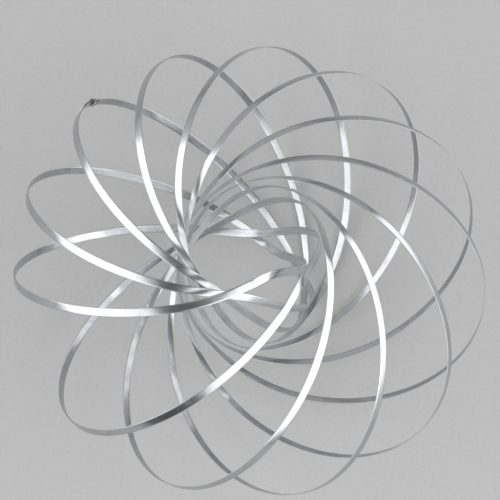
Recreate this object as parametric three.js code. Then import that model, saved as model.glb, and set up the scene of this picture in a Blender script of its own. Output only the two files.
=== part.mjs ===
// Spring coil toy: one closed band of flat spring steel, wound as twelve large leaning turns
// round an open centre. Lengths are in millimetres, angles in radians unless named in degrees.
// The ring lies on the plane z = 0, its open centre along +Z.
import * as THREE from "three";

const { degToRad, euclideanModulo, lerp, smoothstep } = THREE.MathUtils;

// ---- Ring and strip ----
const TURN_COUNT = 12;
const STRIP_WIDTH = 2.4;
const STRIP_THICKNESS = 0.3;
const TURN_RADIUS = 43;
const CENTRE_OFFSET = 13.8; // from the ring's axis to the middle of each turn
const TURN_TILT_DEG = 46; // how far a turn's plane stands up out of the ring's plane

// ---- How a sprung turn departs from a true circle, measured from the ring's axis ----
const TIP_REACH = 10.5; // tip pushed out, inner end drawn in
const WAIST = 2.6; // both ends pushed out, both flanks drawn in
const FACE_ROLL_DEG = 12; // how far the flat face rolls over at the top and bottom of a turn

// ---- How the relaxed coil departs from an even one ----
// One gap between two turns is wider than the rest. The turns grow a little from one side of
// it round to the other, and the turn beside it stands steeper and is pushed back.
const WIDE_GAP_AT_DEG = 135; // middle of the wide gap
const WIDE_GAP_EXTRA_DEG = 8.1;
const RADIUS_GROWTH = 1.2;
const STEEP_TURN_AT_DEG = 120;
const STEEP_TURN_SPREAD_DEG = 18;
const STEEP_TURN_TILT_DEG = 4.5;
const STEEP_TURN_SHIFT_DEG = -3.4;
const PROUD_END_AT_DEG = 105; // the inner end that rides up over its neighbours
const PROUD_END_SPREAD_DEG = 15;
const PROUD_END_RISE = 5.2;
const PROUD_END_DRAW = -4.4;
const PROUD_END_SHIFT_DEG = 3.3;
// The rest vary slowly round the ring: steeper, bunched and raised towards one side each.
const TILT_SWAY_DEG = 5.8;
const TILT_SWAY_TOWARDS_DEG = 66;
const BUNCHING_DEG = 4.8;
const BUNCHING_TOWARDS_DEG = -33;
const LEAN_HEIGHT = 5.9;
const LEAN_TOWARDS_DEG = 177;

// ---- Half turns ----
const STEPS_PER_HALF_TURN = 30;
const END_GAP = 0.3; // between the ends of two half turns

// ---- Lap and weld that close the band ----
const LAP_TURN = 3; // the turn whose tip holds the joint
const LAP_LENGTH = 8;
const LAP_PAST_TIP = 1.3;
const LAP_STEPS = 6;
const LAP_GAP = 0.2; // between the lap, the strip and the weld's two buttons
const WELD_DIAMETER = 2;
const WELD_HEIGHT = 0.4;
const WELD_SIDES = 24;

const STEEL = { color: 0xc9ccd0, roughness: 0.22, metalness: 1 };

// The band is followed by its winding angle: 2 pi for each turn, 0 at the tip of turn 1. Tips
// are on the outside of the ring, and inner ends half a turn away, across the open centre.

// Falls from 1/2 to -1/2 across the wide gap and climbs evenly back round the rest of the ring.
function stepRound(azimuth) {
  const pitch = (2 * Math.PI) / TURN_COUNT;
  const gapStart = degToRad(WIDE_GAP_AT_DEG) + pitch / 2;
  const past = euclideanModulo(gapStart - azimuth, 2 * Math.PI);
  if (past < pitch) return 0.5 - smoothstep(past, 0, pitch);
  return lerp(-0.5, 0.5, (past - pitch) / (2 * Math.PI - pitch));
}

// 1 at an azimuth, fading to 0 either side of it.
function bellRound(azimuth, atDeg, spreadDeg) {
  const away = euclideanModulo(azimuth - degToRad(atDeg) + Math.PI, 2 * Math.PI) - Math.PI;
  return Math.exp(-((away / degToRad(spreadDeg)) ** 2));
}

function swayRound(azimuth, towardsDeg) {
  return Math.cos(azimuth - degToRad(towardsDeg));
}

// The turn that passes through a winding angle: where it stands, how large and how steep.
function turnAt(winding) {
  const azimuth = winding / TURN_COUNT;
  const step = stepRound(azimuth);
  const steep = bellRound(azimuth, STEEP_TURN_AT_DEG, STEEP_TURN_SPREAD_DEG);
  const shiftDeg =
    WIDE_GAP_EXTRA_DEG * step +
    BUNCHING_DEG * swayRound(azimuth, BUNCHING_TOWARDS_DEG) +
    STEEP_TURN_SHIFT_DEG * steep;
  const tiltDeg =
    TURN_TILT_DEG +
    TILT_SWAY_DEG * swayRound(azimuth, TILT_SWAY_TOWARDS_DEG) +
    STEEP_TURN_TILT_DEG * steep;
  return {
    azimuth: azimuth + degToRad(shiftDeg),
    radius: TURN_RADIUS + RADIUS_GROWTH * step,
    tilt: degToRad(tiltDeg),
    height: LEAN_HEIGHT * swayRound(azimuth, LEAN_TOWARDS_DEG),
  };
}

// How far the band is from a turn's tip on the way to its inner end, from 0 to 1, on the turn
// whose inner end stands proud, and 0 on the others.
function proudness(winding) {
  const near = bellRound(winding / TURN_COUNT, PROUD_END_AT_DEG, PROUD_END_SPREAD_DEG);
  return (near * (1 - Math.cos(winding))) / 2;
}

function bandPoint(winding, target = new THREE.Vector3()) {
  const turn = turnAt(winding);
  const proud = proudness(winding);
  const outward = CENTRE_OFFSET + turn.radius * Math.cos(winding);
  const sideways = -turn.radius * Math.sin(winding) * Math.cos(turn.tilt);
  const rise = -turn.radius * Math.sin(winding) * Math.sin(turn.tilt);
  const sprung = TIP_REACH * Math.cos(winding) + WAIST * Math.cos(2 * winding);
  const reach = Math.hypot(outward, sideways) + sprung + PROUD_END_DRAW * proud;
  const angle = Math.atan2(sideways, outward) + turn.azimuth + degToRad(PROUD_END_SHIFT_DEG) * proud;
  const height = rise + turn.height + PROUD_END_RISE * proud;
  return target.set(reach * Math.cos(angle), reach * Math.sin(angle), height);
}

function turnCentre(winding) {
  const turn = turnAt(winding);
  const x = CENTRE_OFFSET * Math.cos(turn.azimuth);
  const y = CENTRE_OFFSET * Math.sin(turn.azimuth);
  return new THREE.Vector3(x, y, turn.height);
}

// A short length along the band, as the winding angle that it takes up near a given one.
function windingForLength(length, winding) {
  const probe = 1e-3;
  const run = bandPoint(winding + probe).distanceTo(bandPoint(winding - probe));
  return (length * 2 * probe) / run;
}

// The way that the strip's flat face looks: at the middle of its own turn at the tip and the
// inner end, and rolled over towards the ring's plane between them.
function faceDirection(winding, tangent) {
  const inward = turnCentre(winding).sub(bandPoint(winding)).projectOnPlane(tangent).normalize();
  return inward.applyAxisAngle(tangent, -degToRad(FACE_ROLL_DEG) * Math.sin(winding));
}

// A stretch of the band, seen from an origin of its own.
class BandStretch extends THREE.Curve {
  constructor(from, to, origin) {
    super();
    this.from = from;
    this.to = to;
    this.origin = origin;
  }

  getPoint(t, target = new THREE.Vector3()) {
    return bandPoint(lerp(this.from, this.to, t), target).sub(this.origin);
  }

  computeFrenetFrames(segments) {
    const frames = { tangents: [], normals: [], binormals: [] };
    for (let i = 0; i <= segments; i++) {
      const winding = lerp(this.from, this.to, this.getUtoTmapping(i / segments));
      const tangent = this.getTangentAt(i / segments);
      const inward = faceDirection(winding, tangent);
      frames.tangents.push(tangent);
      frames.normals.push(inward);
      frames.binormals.push(tangent.clone().cross(inward));
    }
    return frames;
  }
}

// Strip laid along a stretch of the band, its middle moved inwards from the band's by a distance.
function stripGeometry(path, steps, inward = 0) {
  const low = inward - STRIP_THICKNESS / 2;
  const high = inward + STRIP_THICKNESS / 2;
  const edge = STRIP_WIDTH / 2;
  const section = new THREE.Shape([
    new THREE.Vector2(low, -edge),
    new THREE.Vector2(high, -edge),
    new THREE.Vector2(high, edge),
    new THREE.Vector2(low, edge),
  ]);
  return new THREE.ExtrudeGeometry(section, { steps, extrudePath: path });
}

function steelMesh(name, geometry, position) {
  const mesh = new THREE.Mesh(geometry, new THREE.MeshStandardMaterial(STEEL));
  mesh.name = name;
  mesh.position.copy(position);
  return mesh;
}

function tipWinding(turn) {
  return 2 * Math.PI * (turn - 1);
}

// Half a turn, between its inner end and its tip. It swings about the line through those two.
function halfTurn(turn, side) {
  const tip = tipWinding(turn);
  const inner = side === "upper" ? tip - Math.PI : tip + Math.PI;
  const from = Math.min(tip, inner);
  const to = Math.max(tip, inner);
  const pivot = bandPoint(inner);
  const path = new BandStretch(
    from + windingForLength(END_GAP / 2, from),
    to - windingForLength(END_GAP / 2, to),
    pivot,
  );
  const name = `turn_${String(turn).padStart(2, "0")}_${side}`;
  const mesh = steelMesh(name, stripGeometry(path, STEPS_PER_HALF_TURN), pivot);
  mesh.userData.swingsTowards = bandPoint(tip).sub(pivot);
  return mesh;
}

// The strip's spare end, laid over the outer face of the upper half turn that it is welded to.
function lap() {
  const tip = tipWinding(LAP_TURN);
  const origin = bandPoint(tip);
  const start = tip - windingForLength(LAP_LENGTH - LAP_PAST_TIP, tip);
  const path = new BandStretch(start, tip + windingForLength(LAP_PAST_TIP, tip), origin);
  return steelMesh("lapped_end", stripGeometry(path, LAP_STEPS, -STRIP_THICKNESS - LAP_GAP), origin);
}

// The round weld's button on one face, its middle a distance inwards from the band's middle.
function weldButton(name, inward) {
  const tip = tipWinding(LAP_TURN);
  const frames = new BandStretch(tip - 0.1, tip + 0.1, bandPoint(tip)).computeFrenetFrames(2);
  const facing = frames.normals[1];
  const radius = WELD_DIAMETER / 2;
  const geometry = new THREE.CylinderGeometry(radius, radius, WELD_HEIGHT, WELD_SIDES);
  const mesh = steelMesh(name, geometry, bandPoint(tip).addScaledVector(facing, inward));
  mesh.quaternion.setFromUnitVectors(new THREE.Vector3(0, 1, 0), facing);
  return mesh;
}

const ring = new THREE.Group();
ring.name = "spring_coil_toy";
for (let turn = 1; turn <= TURN_COUNT; turn++) {
  ring.add(halfTurn(turn, "upper"), halfTurn(turn, "lower"));
}
const innerWeldRise = STRIP_THICKNESS / 2 + LAP_GAP + WELD_HEIGHT / 2;
const outerWeldRise = innerWeldRise + STRIP_THICKNESS + LAP_GAP;
ring.add(lap());
ring.add(weldButton("weld_button_outer", -outerWeldRise));
ring.add(weldButton("weld_button_inner", innerWeldRise));

// Lay the ring on z = 0 with the middle of its outline over the origin.
const outline = new THREE.Box3().setFromObject(ring, true);
const middle = outline.getCenter(new THREE.Vector3());
ring.position.set(-middle.x, -middle.y, -outline.min.z);

export default ring;
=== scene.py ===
import math

import bpy
import numpy as np
from mathutils import Matrix, Vector


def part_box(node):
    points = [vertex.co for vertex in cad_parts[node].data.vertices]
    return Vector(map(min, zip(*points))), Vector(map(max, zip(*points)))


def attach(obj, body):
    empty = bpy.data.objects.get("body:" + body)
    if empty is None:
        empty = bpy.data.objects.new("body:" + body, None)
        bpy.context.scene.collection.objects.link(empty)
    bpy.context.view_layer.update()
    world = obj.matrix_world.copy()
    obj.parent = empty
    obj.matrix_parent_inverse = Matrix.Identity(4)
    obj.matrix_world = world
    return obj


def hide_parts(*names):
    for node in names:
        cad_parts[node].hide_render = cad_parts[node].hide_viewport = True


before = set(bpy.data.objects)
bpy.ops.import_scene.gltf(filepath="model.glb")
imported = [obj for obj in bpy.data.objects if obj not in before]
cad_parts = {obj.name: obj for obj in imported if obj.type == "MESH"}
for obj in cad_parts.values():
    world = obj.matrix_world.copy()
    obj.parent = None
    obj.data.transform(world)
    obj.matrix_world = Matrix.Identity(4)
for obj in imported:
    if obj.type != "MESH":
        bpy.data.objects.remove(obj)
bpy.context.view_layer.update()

MM = 0.001
TURN = 2 * math.pi

# ---- Ring and strip, as in the CAD ----
TURN_COUNT = 12
STRIP_WIDTH = 2.4 * MM
STRIP_THICKNESS = 0.3 * MM
TURN_RADIUS = 43 * MM
CENTRE_OFFSET = 13.8 * MM
TURN_TILT_DEG = 46
TIP_REACH = 10.5 * MM
WAIST = 2.6 * MM
FACE_ROLL_DEG = 12
WIDE_GAP_AT_DEG = 135
WIDE_GAP_EXTRA_DEG = 8.1
RADIUS_GROWTH = 1.2 * MM
STEEP_TURN_AT_DEG = 120
STEEP_TURN_SPREAD_DEG = 18
STEEP_TURN_TILT_DEG = 4.5
STEEP_TURN_SHIFT_DEG = -3.4
PROUD_END_AT_DEG = 105
PROUD_END_SPREAD_DEG = 15
PROUD_END_RISE = 5.2 * MM
PROUD_END_DRAW = -4.4 * MM
PROUD_END_SHIFT_DEG = 3.3
TILT_SWAY_DEG = 5.8
TILT_SWAY_TOWARDS_DEG = 66
BUNCHING_DEG = 4.8
BUNCHING_TOWARDS_DEG = -33
LEAN_HEIGHT = 5.9 * MM
LEAN_TOWARDS_DEG = 177

# ---- Fine surface of the strip ----
STATIONS_PER_HALF_TURN = 88
HAIRLINE = 0.02 * MM  # between the ends of two half turns
FACE_CROWN = 0.012 * MM  # a rolled strip is a little fuller along its middle
FACE_POINTS = 7
EDGE_POINTS = 6
GRAIN_LENGTH = 150 * MM  # grain set aside for each half turn, so that no two look alike
RUB_FROM = 0.1  # rubbing starts this share of the way from a turn's middle to its inner end

# ---- Lap and weld that close the band ----
LAP_TURN = 3
LAP_LENGTH = 8 * MM
LAP_PAST_TIP = 1.3 * MM
LAP_GAP = 0.2 * MM  # as in the CAD
LAP_STATIONS = 40
LAP_TAPER = 1.4 * MM  # the lap's ends are ground down over this length
LAP_TAPER_TO = 0.35  # share of its thickness left at the very end
WELD_RADIUS = 1 * MM
WELD_HEIGHT = 0.4 * MM
WELD_SIDES = 64
HEAT_TINT_FROM = 0.8 * MM  # from the weld's middle
HEAT_TINT_REACH = 5 * MM
HEAT_TINT_WOBBLE = 0.6 * MM

# ---- The weld button's outline, in shares of its radius and height ----
WELD_FOOT = 0.1  # how far the foot is drawn in
WELD_FOOT_HEIGHT = 0.25
WELD_WALL_HEIGHT = 0.6  # the wall rounds off to the rim from here
WELD_RIM = 0.78  # radius of the raised rim
WELD_DIMPLE = 0.36  # depth of the dimple inside the rim
WELD_FOOT_POINTS = 5
WELD_RIM_POINTS = 7
WELD_DIMPLE_POINTS = 10

# ---- Colours ----
STEEL_DARK = (0.50, 0.51, 0.53, 1)
STEEL_LIGHT = (0.62, 0.63, 0.65, 1)
STEEL_MOTTLED = (0.45, 0.46, 0.49, 1)
STEEL_SMUDGED = (0.49, 0.48, 0.46, 1)
STEEL_RUBBED = (0.74, 0.75, 0.76, 1)
STEEL_EDGE = (0.34, 0.35, 0.37, 1)
STEEL_SCRATCHED = (0.80, 0.81, 0.82, 1)
OXIDE_GREY = (0.30, 0.29, 0.31, 1)
OXIDE_BLUE = (0.20, 0.25, 0.40, 1)
OXIDE_BROWN = (0.36, 0.24, 0.22, 1)
OXIDE_STRAW = (0.60, 0.50, 0.33, 1)
OXIDE_CLEAR = (0.57, 0.58, 0.60, 1)
WELD_DARK = (0.34, 0.33, 0.34, 1)
WELD_LIGHT = (0.50, 0.49, 0.48, 1)
WELD_PITTED = (0.16, 0.15, 0.17, 1)
FLOOR_DARK = (0.47, 0.47, 0.47, 1)
FLOOR_LIGHT = (0.50, 0.50, 0.50, 1)

# ---- Studio ----
FLOOR_SIZE = 12.0
LIGHT_DISTANCE = 1.4
SURROUND_COLOUR = (0.5, 0.5, 0.5, 1)
SURROUND_STRENGTH = 0.15

# ---- Camera ----
CAMERA_DISTANCE = 0.930
CAMERA_LEAN_DEG = 15.6  # away from straight overhead
CAMERA_LEAN_TOWARDS_DEG = 189.3
PICTURE_TOP_TOWARDS_DEG = 14.6
LENS = 226.9  # millimetres on a 36 mm sensor
AIM_RIGHT = 0.1 * MM  # the camera looks this far from the middle of the ring
AIM_UP = 4.8 * MM


# ------------------------------------------------------------------ the band's own geometry
def smoothstep(x):
    x = np.clip(x, 0, 1)
    return x * x * (3 - 2 * x)


def step_round(azimuth):
    """Falls from 1/2 to -1/2 across the wide gap and climbs evenly back round the ring."""
    pitch = TURN / TURN_COUNT
    past = np.mod(math.radians(WIDE_GAP_AT_DEG) + pitch / 2 - azimuth, TURN)
    climb = (past - pitch) / (TURN - pitch) - 0.5
    return np.where(past < pitch, 0.5 - smoothstep(past / pitch), climb)


def bell_round(azimuth, at_deg, spread_deg):
    """1 at an azimuth, fading to 0 either side of it."""
    away = np.mod(azimuth - math.radians(at_deg) + math.pi, TURN) - math.pi
    return np.exp(-((away / math.radians(spread_deg)) ** 2))


def sway_round(azimuth, towards_deg):
    return np.cos(azimuth - math.radians(towards_deg))


def turn_at(winding):
    """Azimuth, radius, tilt and height of the turn that passes through a winding angle."""
    azimuth = winding / TURN_COUNT
    step = step_round(azimuth)
    steep = bell_round(azimuth, STEEP_TURN_AT_DEG, STEEP_TURN_SPREAD_DEG)
    shift_deg = (
        WIDE_GAP_EXTRA_DEG * step
        + BUNCHING_DEG * sway_round(azimuth, BUNCHING_TOWARDS_DEG)
        + STEEP_TURN_SHIFT_DEG * steep
    )
    tilt_deg = (
        TURN_TILT_DEG
        + TILT_SWAY_DEG * sway_round(azimuth, TILT_SWAY_TOWARDS_DEG)
        + STEEP_TURN_TILT_DEG * steep
    )
    radius = TURN_RADIUS + RADIUS_GROWTH * step
    height = LEAN_HEIGHT * sway_round(azimuth, LEAN_TOWARDS_DEG)
    return azimuth + np.radians(shift_deg), radius, np.radians(tilt_deg), height


def band_point(winding):
    azimuth, radius, tilt, height = turn_at(winding)
    near = bell_round(winding / TURN_COUNT, PROUD_END_AT_DEG, PROUD_END_SPREAD_DEG)
    proud = near * (1 - np.cos(winding)) / 2
    outward = CENTRE_OFFSET + radius * np.cos(winding)
    sideways = -radius * np.sin(winding) * np.cos(tilt)
    rise = -radius * np.sin(winding) * np.sin(tilt)
    sprung = TIP_REACH * np.cos(winding) + WAIST * np.cos(2 * winding)
    reach = np.hypot(outward, sideways) + sprung + PROUD_END_DRAW * proud
    angle = np.arctan2(sideways, outward) + azimuth + math.radians(PROUD_END_SHIFT_DEG) * proud
    height = rise + height + PROUD_END_RISE * proud
    return np.stack([reach * np.cos(angle), reach * np.sin(angle), height], -1)


def turn_centre(winding):
    azimuth, _, _, height = turn_at(winding)
    x = CENTRE_OFFSET * np.cos(azimuth)
    y = CENTRE_OFFSET * np.sin(azimuth)
    return np.stack([x, y, height], -1)


def unit(vectors):
    return vectors / np.linalg.norm(vectors, axis=-1, keepdims=True)


def band_frames(winding):
    """Points of the band, with the directions its flat face looks in and across the strip."""
    probe = 1e-4
    point = band_point(winding)
    tangent = unit(band_point(winding + probe) - band_point(winding - probe))
    inward = turn_centre(winding) - point
    inward -= tangent * (inward * tangent).sum(-1, keepdims=True)
    inward = unit(inward)
    across = np.cross(tangent, inward)
    roll = -math.radians(FACE_ROLL_DEG) * np.sin(winding)[..., None]
    face = inward * np.cos(roll) + across * np.sin(roll)
    return point, face, np.cross(tangent, face)


def winding_for_length(length, winding):
    """A short length along the band, as the winding angle that it takes up there."""
    probe = 1e-3
    run = np.linalg.norm(band_point(winding + probe) - band_point(winding - probe))
    return length * 2 * probe / run


def tip_winding(turn):
    return TURN * (turn - 1)


def half_turn_windings(turn, side):
    """Where a half turn starts and ends, in the order that the band is wound."""
    tip = tip_winding(turn)
    start = tip - math.pi if side == "upper" else tip
    return start, start + math.pi


def ring_place():
    """The ring's own origin in the frame: the band's box laid over the CAD's, node by node."""
    moves = []
    for turn in range(1, TURN_COUNT + 1):
        for side in ("upper", "lower"):
            start, end = half_turn_windings(turn, side)
            point, _, across = band_frames(np.linspace(start, end, STATIONS_PER_HALF_TURN))
            half = across * STRIP_WIDTH / 2
            edges = np.concatenate([point - half, point + half])
            low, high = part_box(f"turn_{turn:02d}_{side}")
            moves.append((np.array(low) + np.array(high) - edges.min(0) - edges.max(0)) / 2)
    return np.mean(moves, axis=0)


RING_PLACE = ring_place()
# The weld's place on the band, and the directions inwards and across the strip there.
LAP_POINT, WELD_INWARD, WELD_ACROSS = band_frames(np.array(tip_winding(LAP_TURN)))
WELD_POINT = LAP_POINT + RING_PLACE


# ------------------------------------------------------------------ node materials
class Nodes:
    """A material's node tree, with short calls to add and join nodes."""

    def __init__(self, name):
        self.material = bpy.data.materials.new(name)
        self.material.use_nodes = True
        self.tree = self.material.node_tree
        self.shader = self.tree.nodes["Principled BSDF"]

    def add(self, kind, inputs=None, **settings):
        node = self.tree.nodes.new("ShaderNode" + kind)
        for key, value in settings.items():
            setattr(node, key, value)
        for key, value in (inputs or {}).items():
            self.put(node.inputs[key], value)
        return node

    def put(self, socket, value):
        if isinstance(value, bpy.types.NodeSocket):
            self.tree.links.new(value, socket)
        else:
            socket.default_value = value

    def math(self, operation, a, b=0.0, clamp=False):
        node = self.add("Math", {0: a, 1: b}, operation=operation, use_clamp=clamp)
        return node.outputs[0]

    def remap(self, value, low, high, to_low=0.0, to_high=1.0):
        inputs = {"Value": value, "From Min": low, "From Max": high}
        inputs |= {"To Min": to_low, "To Max": to_high}
        return self.add("MapRange", inputs, clamp=True).outputs["Result"]

    def noise(self, vector, scale=1.0, detail=3.0, roughness=0.55, distortion=0.0):
        inputs = {"Vector": vector, "Scale": scale, "Detail": detail}
        inputs |= {"Roughness": roughness, "Distortion": distortion}
        return self.add("TexNoise", inputs).outputs["Fac"]

    def stretched(self, vector, along, across, turn_deg=0.0):
        """The strip's own map, with a scale along it and one across it."""
        rotation = (0, 0, math.radians(turn_deg))
        inputs = {"Vector": vector, "Scale": (along, across, 1), "Rotation": rotation}
        return self.add("Mapping", inputs, vector_type="POINT").outputs["Vector"]

    def blend(self, share, a, b):
        node = self.add("Mix", {"Factor": share}, data_type="RGBA")
        self.put(node.inputs["A"], a)
        self.put(node.inputs["B"], b)
        return node.outputs["Result"]


def heat_tint(nodes, position, colour):
    """Straw, brown and blue rings of oxide round the spot weld, over a colour."""
    away = nodes.add("VectorMath", {0: position, 1: Vector(WELD_POINT)}, operation="DISTANCE")
    noise = nodes.noise(position, scale=900.0)
    wobble = nodes.remap(noise, 0, 1, to_low=-HEAT_TINT_WOBBLE, to_high=HEAT_TINT_WOBBLE)
    reach = nodes.math("ADD", away.outputs["Value"], wobble)
    share = nodes.remap(reach, HEAT_TINT_FROM, HEAT_TINT_REACH)
    ramp = nodes.add("ValToRGB", {"Fac": share})
    rings = {0: OXIDE_GREY, 0.22: OXIDE_BLUE, 0.42: OXIDE_BROWN, 0.68: OXIDE_STRAW, 1: OXIDE_CLEAR}
    while len(ramp.color_ramp.elements) < len(rings):
        ramp.color_ramp.elements.new(0.5)
    for element, (place, tint) in zip(ramp.color_ramp.elements, rings.items()):
        element.position = place
        element.color = tint
    strength = nodes.remap(share, 0.85, 1.0, to_low=0.9, to_high=0.0)
    return nodes.blend(strength, colour, ramp.outputs["Color"])


def strip_steel():
    """Bright rolled spring steel: grain along the strip, dull rubs, hairline scratches."""
    nodes = Nodes("strip_steel")
    strip = nodes.add("UVMap", uv_map="strip").outputs["UV"]
    position = nodes.add("TexCoord").outputs["Object"]
    rub = nodes.add("Attribute", attribute_name="rub").outputs["Fac"]
    edge = nodes.add("Attribute", attribute_name="edge").outputs["Fac"]
    grain = nodes.noise(nodes.stretched(strip, along=90, across=9000), detail=4.0)
    streaks = nodes.noise(nodes.stretched(strip, along=25, across=2200), detail=2.0)
    mottle = nodes.noise(position, scale=260.0, detail=4.0, roughness=0.6)
    smudge = nodes.noise(position, scale=65.0, detail=3.0, distortion=0.6)
    hair = nodes.noise(nodes.stretched(strip, along=2600, across=120, turn_deg=14), detail=2.0)
    scratch = nodes.remap(hair, 0.70, 0.76)
    worn = nodes.math("MULTIPLY", rub, nodes.remap(streaks, 0.42, 0.62), clamp=True)

    mottled_by = nodes.remap(mottle, 0.35, 0.7, to_high=0.35)
    smudged_by = nodes.remap(smudge, 0.52, 0.72, to_high=0.30)
    bright = nodes.blend(nodes.remap(grain, 0.3, 0.7), STEEL_DARK, STEEL_LIGHT)
    mottled = nodes.blend(mottled_by, bright, STEEL_MOTTLED)
    smudged = nodes.blend(smudged_by, mottled, STEEL_SMUDGED)
    rubbed = nodes.blend(nodes.math("MULTIPLY", worn, 0.55), smudged, STEEL_RUBBED)
    edged = nodes.blend(nodes.math("MULTIPLY", edge, 0.55), rubbed, STEEL_EDGE)
    scored = nodes.blend(nodes.math("MULTIPLY", scratch, 0.4), edged, STEEL_SCRATCHED)
    colour = heat_tint(nodes, position, scored)

    polish = nodes.remap(grain, 0.25, 0.75, to_low=0.15, to_high=0.25)
    dull = nodes.math("MULTIPLY", nodes.remap(smudge, 0.5, 0.75), 0.10)
    rough_rub = nodes.math("MULTIPLY", worn, 0.12)
    rough_edge = nodes.math("MULTIPLY", edge, 0.18)
    rough_faces = nodes.math("ADD", polish, dull)
    rough_wear = nodes.math("ADD", rough_rub, rough_edge)
    rough = nodes.math("ADD", rough_faces, rough_wear)

    height = nodes.math("ADD", grain, nodes.math("MULTIPLY", scratch, -0.8))
    bump = nodes.add("Bump", {"Height": height, "Strength": 0.18, "Distance": 0.02 * MM})
    tangent = nodes.add("Tangent", direction_type="UV_MAP", uv_map="strip")
    shader = nodes.shader
    nodes.put(shader.inputs["Base Color"], colour)
    nodes.put(shader.inputs["Roughness"], rough)
    nodes.put(shader.inputs["Normal"], bump.outputs["Normal"])
    nodes.put(shader.inputs["Tangent"], tangent.outputs["Tangent"])
    shader.inputs["Metallic"].default_value = 1.0
    shader.inputs["Anisotropic"].default_value = 0.35
    return nodes.material


def weld_steel():
    """The weld: duller, pressed steel, pitted and tinted by its heat."""
    nodes = Nodes("weld_steel")
    position = nodes.add("TexCoord").outputs["Object"]
    pits = nodes.noise(position, scale=5200.0)
    patches = nodes.noise(position, scale=1400.0)
    base = nodes.blend(nodes.remap(patches, 0.35, 0.65), WELD_DARK, WELD_LIGHT)
    pitted = nodes.blend(nodes.remap(pits, 0.58, 0.70, to_high=0.7), base, WELD_PITTED)
    rough = nodes.remap(patches, 0.3, 0.7, to_low=0.30, to_high=0.48)
    bump = nodes.add("Bump", {"Height": pits, "Strength": 0.35, "Distance": 0.05 * MM})
    shader = nodes.shader
    nodes.put(shader.inputs["Base Color"], pitted)
    nodes.put(shader.inputs["Roughness"], rough)
    nodes.put(shader.inputs["Normal"], bump.outputs["Normal"])
    shader.inputs["Metallic"].default_value = 1.0
    return nodes.material


def pale_floor():
    """A plain pale table top with a fine tooth."""
    nodes = Nodes("pale_floor")
    position = nodes.add("TexCoord").outputs["Object"]
    tooth = nodes.noise(position, scale=900.0)
    colour = nodes.blend(nodes.remap(tooth, 0.3, 0.7), FLOOR_DARK, FLOOR_LIGHT)
    nodes.put(nodes.shader.inputs["Base Color"], colour)
    nodes.shader.inputs["Roughness"].default_value = 0.85
    nodes.shader.inputs["Specular IOR Level"].default_value = 0.2
    return nodes.material


# ------------------------------------------------------------------ pieces
def add_object(name, data):
    item = bpy.data.objects.new(name, data)
    bpy.context.scene.collection.objects.link(item)
    return item


def strip_section():
    """Half the strip's outline, then the other half: crowned faces and round edges.

    Each point is (towards the turn's middle, across the strip, share of an edge in it).
    """
    edge_radius = STRIP_THICKNESS / 2
    flat = STRIP_WIDTH / 2 - edge_radius
    points = []
    for side in (1, -1):
        for across in np.linspace(-flat, flat, FACE_POINTS):
            crown = FACE_CROWN * (1 - (across / flat) ** 2)
            points.append((side * (edge_radius + crown - FACE_CROWN), side * across, 0.0))
        for angle in np.linspace(math.pi / 2, -math.pi / 2, EDGE_POINTS + 2)[1:-1]:
            inward = side * (edge_radius - FACE_CROWN * abs(math.sin(angle))) * math.sin(angle)
            points.append((inward, side * (flat + edge_radius * math.cos(angle)), math.cos(angle)))
    return np.array(points)


def tube_faces(stations, count):
    """The sides of a tube through rings of so many points, and then its two flat ends."""
    faces = []
    for i in range(stations - 1):
        low = i * count
        high = low + count
        for j in range(count):
            k = (j + 1) % count
            faces.append((low + j, low + k, high + k, high + j))
    faces.append(tuple(reversed(range(count))))
    faces.append(tuple(range((stations - 1) * count, stations * count)))
    return faces


def map_strip(mesh, rings, along):
    """The UV map of a strip's sides: length along it and length round its section."""
    stations, count = rings.shape[:2]
    girth = np.linalg.norm(np.roll(rings[0], -1, axis=0) - rings[0], axis=1)
    around = np.concatenate([[0], np.cumsum(girth)])
    uv = np.zeros((len(mesh.loops), 2))
    corner = 0
    for i in range(stations - 1):
        for j in range(count):
            for station, point in ((i, j), (i, j + 1), (i + 1, j + 1), (i + 1, j)):
                uv[corner] = (along[station], around[point])
                corner += 1
    mesh.uv_layers.new(name="strip").data.foreach_set("uv", uv.ravel())


def sharpen_ends(mesh, stations, count):
    """Marks the outlines of a strip's two cut ends as sharp."""
    ends = {*range(count), *range((stations - 1) * count, stations * count)}
    for side in mesh.edges:
        first, second = side.vertices
        if first in ends and second in ends and abs(first - second) in (1, count - 1):
            side.use_edge_sharp = True


def loft(name, rings, section_edge, along, rub):
    """A closed strip through rings of points, with the marks that its material reads."""
    stations, count = rings.shape[:2]
    mesh = bpy.data.meshes.new(name)
    mesh.from_pydata(rings.reshape(-1, 3), [], tube_faces(stations, count))
    map_strip(mesh, rings, along)
    edge = mesh.attributes.new("edge", "FLOAT", "POINT")
    edge.data.foreach_set("value", np.tile(section_edge, stations))
    rubbed = mesh.attributes.new("rub", "FLOAT", "POINT")
    rubbed.data.foreach_set("value", np.repeat(rub, count))
    smooth = np.ones(len(mesh.polygons), bool)
    smooth[-2:] = False
    mesh.polygons.foreach_set("use_smooth", smooth)
    sharpen_ends(mesh, stations, count)
    mesh.validate()
    mesh.update()
    return add_object(name, mesh)


def strip_rings(windings, section, inward_by=0.0, thinning=None):
    """The strip's section at each winding, moved inwards and thinned where that is asked."""
    point, inward, across = band_frames(windings)
    share = np.ones(len(windings)) if thinning is None else thinning
    depth = section[None, :, 0] * share[:, None] + inward_by
    rings = point[:, None] + inward[:, None] * depth[..., None]
    return rings + across[:, None] * section[None, :, 1, None] + RING_PLACE


def rub_marks(windings):
    """1 where the turns slide on each other, round the open centre, and 0 by the tips."""
    return smoothstep((-np.cos(windings) - RUB_FROM) / (1 - RUB_FROM))


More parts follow.
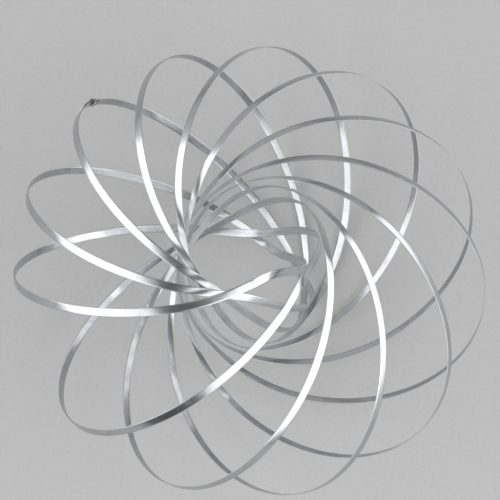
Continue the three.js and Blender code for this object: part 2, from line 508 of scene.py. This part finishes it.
def half_turn(turn, side, steel):
    start, end = half_turn_windings(turn, side)
    start += winding_for_length(HAIRLINE / 2, start)
    end -= winding_for_length(HAIRLINE / 2, end)
    windings = np.linspace(start, end, STATIONS_PER_HALF_TURN)
    section = strip_section()
    rings = strip_rings(windings, section)
    middles = rings.mean(axis=1)
    runs = np.linalg.norm(np.diff(middles, axis=0), axis=1)
    stretch = 2 * turn + (side == "lower")
    along = np.concatenate([[0], np.cumsum(runs)]) + stretch * GRAIN_LENGTH
    node = f"turn_{turn:02d}_{side}"
    piece = loft(f"steel_{node}", rings, section[:, 2], along, rub_marks(windings))
    piece.data.materials.append(steel)
    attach(piece, node)
    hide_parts(node)


def lap(steel):
    """The strip's spare end over the outer face of the half turn that it is welded to."""
    tip = tip_winding(LAP_TURN)
    start = tip - winding_for_length(LAP_LENGTH - LAP_PAST_TIP, tip)
    end = tip + winding_for_length(LAP_PAST_TIP, tip)
    windings = np.linspace(start, end, LAP_STATIONS)
    section = strip_section()
    from_end = np.minimum(windings - start, end - windings) / (end - start) * LAP_LENGTH
    left = LAP_TAPER_TO + (1 - LAP_TAPER_TO) * smoothstep(from_end / LAP_TAPER)
    rings = strip_rings(windings, section, -(STRIP_THICKNESS + LAP_GAP), left)
    along = np.linspace(0, LAP_LENGTH, LAP_STATIONS)
    piece = loft("steel_lapped_end", rings, section[:, 2], along, np.zeros(LAP_STATIONS))
    piece.data.materials.append(steel)
    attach(piece, f"turn_{LAP_TURN:02d}_upper")
    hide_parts("lapped_end")


def weld_profile():
    """The button's outline from its foot to its middle, as shares of its radius and height."""
    profile = []
    for angle in np.linspace(0, math.pi / 2, WELD_FOOT_POINTS):
        radius = 1 - WELD_FOOT * (1 - math.sin(angle))
        profile.append((radius, WELD_FOOT_HEIGHT * (1 - math.cos(angle))))
    for angle in np.linspace(0, math.pi / 2, WELD_RIM_POINTS):
        radius = WELD_RIM + (1 - WELD_RIM) * math.cos(angle)
        profile.append((radius, WELD_WALL_HEIGHT + (1 - WELD_WALL_HEIGHT) * math.sin(angle)))
    for share in np.linspace(0, 1, WELD_DIMPLE_POINTS)[1:]:
        sunk = WELD_DIMPLE * (1 - math.cos(math.pi * share)) / 2
        profile.append((WELD_RIM * (1 - share), 1 - sunk))
    return profile


def weld_button(node, inward_by, facing, metal):
    """A pressed button: round edge, raised rim and a shallow dimple, turned about its own axis.

    Its middle stands inwards of the band's middle by a distance, and it faces inwards (1) or
    outwards (-1).
    """
    profile = weld_profile()
    middle = Vector(WELD_POINT + WELD_INWARD * inward_by)
    base = middle - Vector(WELD_INWARD * facing) * WELD_HEIGHT / 2
    up = Vector(WELD_INWARD) * facing
    side = Vector(WELD_ACROSS)
    other = up.cross(side)
    vertices = []
    for radius, height in profile[:-1]:
        for i in range(WELD_SIDES):
            angle = TURN * i / WELD_SIDES
            spoke = side * math.cos(angle) + other * math.sin(angle)
            vertices.append(base + spoke * radius * WELD_RADIUS + up * height * WELD_HEIGHT)
    foot = len(vertices)
    dimple = foot + 1
    vertices += [base, base + up * profile[-1][1] * WELD_HEIGHT]
    faces = []
    last_row = foot - WELD_SIDES
    for i in range(WELD_SIDES):
        j = (i + 1) % WELD_SIDES
        faces.append((foot, j, i))
        faces.append((dimple, last_row + i, last_row + j))
        for low in range(0, last_row, WELD_SIDES):
            high = low + WELD_SIDES
            faces.append((low + i, low + j, high + j, high + i))
    mesh = bpy.data.meshes.new(f"steel_{node}")
    mesh.from_pydata(vertices, [], faces)
    mesh.polygons.foreach_set("use_smooth", np.ones(len(faces), bool))
    mesh.validate()
    mesh.update()
    mesh.materials.append(metal)
    piece = add_object(mesh.name, mesh)
    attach(piece, "weld")
    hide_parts(node)


def coil_toy():
    steel = strip_steel()
    metal = weld_steel()
    for turn in range(1, TURN_COUNT + 1):
        half_turn(turn, "upper", steel)
        half_turn(turn, "lower", steel)
    lap(steel)
    rise = STRIP_THICKNESS / 2 + LAP_GAP + WELD_HEIGHT / 2
    outer_rise = rise + STRIP_THICKNESS + LAP_GAP
    weld_button("weld_button_outer", inward_by=-outer_rise, facing=-1, metal=metal)
    weld_button("weld_button_inner", inward_by=rise, facing=1, metal=metal)


# ------------------------------------------------------------------ studio
def direction(azimuth_deg, elevation_deg):
    azimuth = math.radians(azimuth_deg)
    elevation = math.radians(elevation_deg)
    flat = math.cos(elevation)
    return Vector((flat * math.cos(azimuth), flat * math.sin(azimuth), math.sin(elevation)))


def softbox(name, azimuth_deg, elevation_deg, width, height, power):
    """An area light that looks at the middle of the ring."""
    light = bpy.data.lights.new(name, "AREA")
    light.shape = "RECTANGLE"
    light.size = width
    light.size_y = height
    light.energy = power
    lamp = add_object(name, light)
    away = direction(azimuth_deg, elevation_deg)
    lamp.location = Vector(RING_PLACE) + away * LIGHT_DISTANCE
    lamp.rotation_mode = "QUATERNION"
    lamp.rotation_quaternion = away.to_track_quat("Z", "Y")
    lamp.visible_camera = False


def studio():
    """A pale floor under soft lights, which stand where the strips mirror them as in the photo."""
    half = FLOOR_SIZE / 2
    mesh = bpy.data.meshes.new("floor")
    corners = [(-half, -half, 0), (half, -half, 0), (half, half, 0), (-half, half, 0)]
    mesh.from_pydata(corners, [], [(0, 1, 2, 3)])
    mesh.materials.append(pale_floor())
    floor = add_object("floor", mesh)
    softbox("overhead", azimuth_deg=0, elevation_deg=90, width=0.9, height=0.9, power=1.5)
    softbox("left_window", azimuth_deg=118, elevation_deg=30, width=3.34, height=1.37, power=28.5)
    softbox("right_window", azimuth_deg=295, elevation_deg=20, width=2.5, height=0.97, power=15)
    softbox("front_window", azimuth_deg=240, elevation_deg=35, width=1.75, height=1.6, power=17)
    softbox("back_fill", azimuth_deg=25, elevation_deg=22, width=2.6, height=1.0, power=4)
    world = bpy.data.worlds.new("studio")
    world.use_nodes = True
    background = world.node_tree.nodes["Background"]
    background.inputs["Color"].default_value = SURROUND_COLOUR
    background.inputs["Strength"].default_value = SURROUND_STRENGTH
    bpy.context.scene.world = world
    bpy.context.scene.view_settings.view_transform = "Standard"


def camera():
    """Looks down on the ring from just off overhead, as a person at a desk does."""
    back = direction(CAMERA_LEAN_TOWARDS_DEG, 90 - CAMERA_LEAN_DEG)
    top = direction(PICTURE_TOP_TOWARDS_DEG, 0)
    up = (top - back * top.dot(back)).normalized()
    right = up.cross(back)
    middle = Vector(RING_PLACE)
    location = middle + back * CAMERA_DISTANCE
    target = middle + right * AIM_RIGHT + up * AIM_UP
    back = (location - target).normalized()
    right = up.cross(back).normalized()
    up = back.cross(right)
    data = bpy.data.cameras.new("camera")
    data.lens = LENS
    view = add_object("camera", data)
    turned = Matrix((right, up, back)).transposed().to_4x4()
    view.matrix_world = Matrix.Translation(location) @ turned
    bpy.context.scene.camera = view


camera()
coil_toy()
studio()
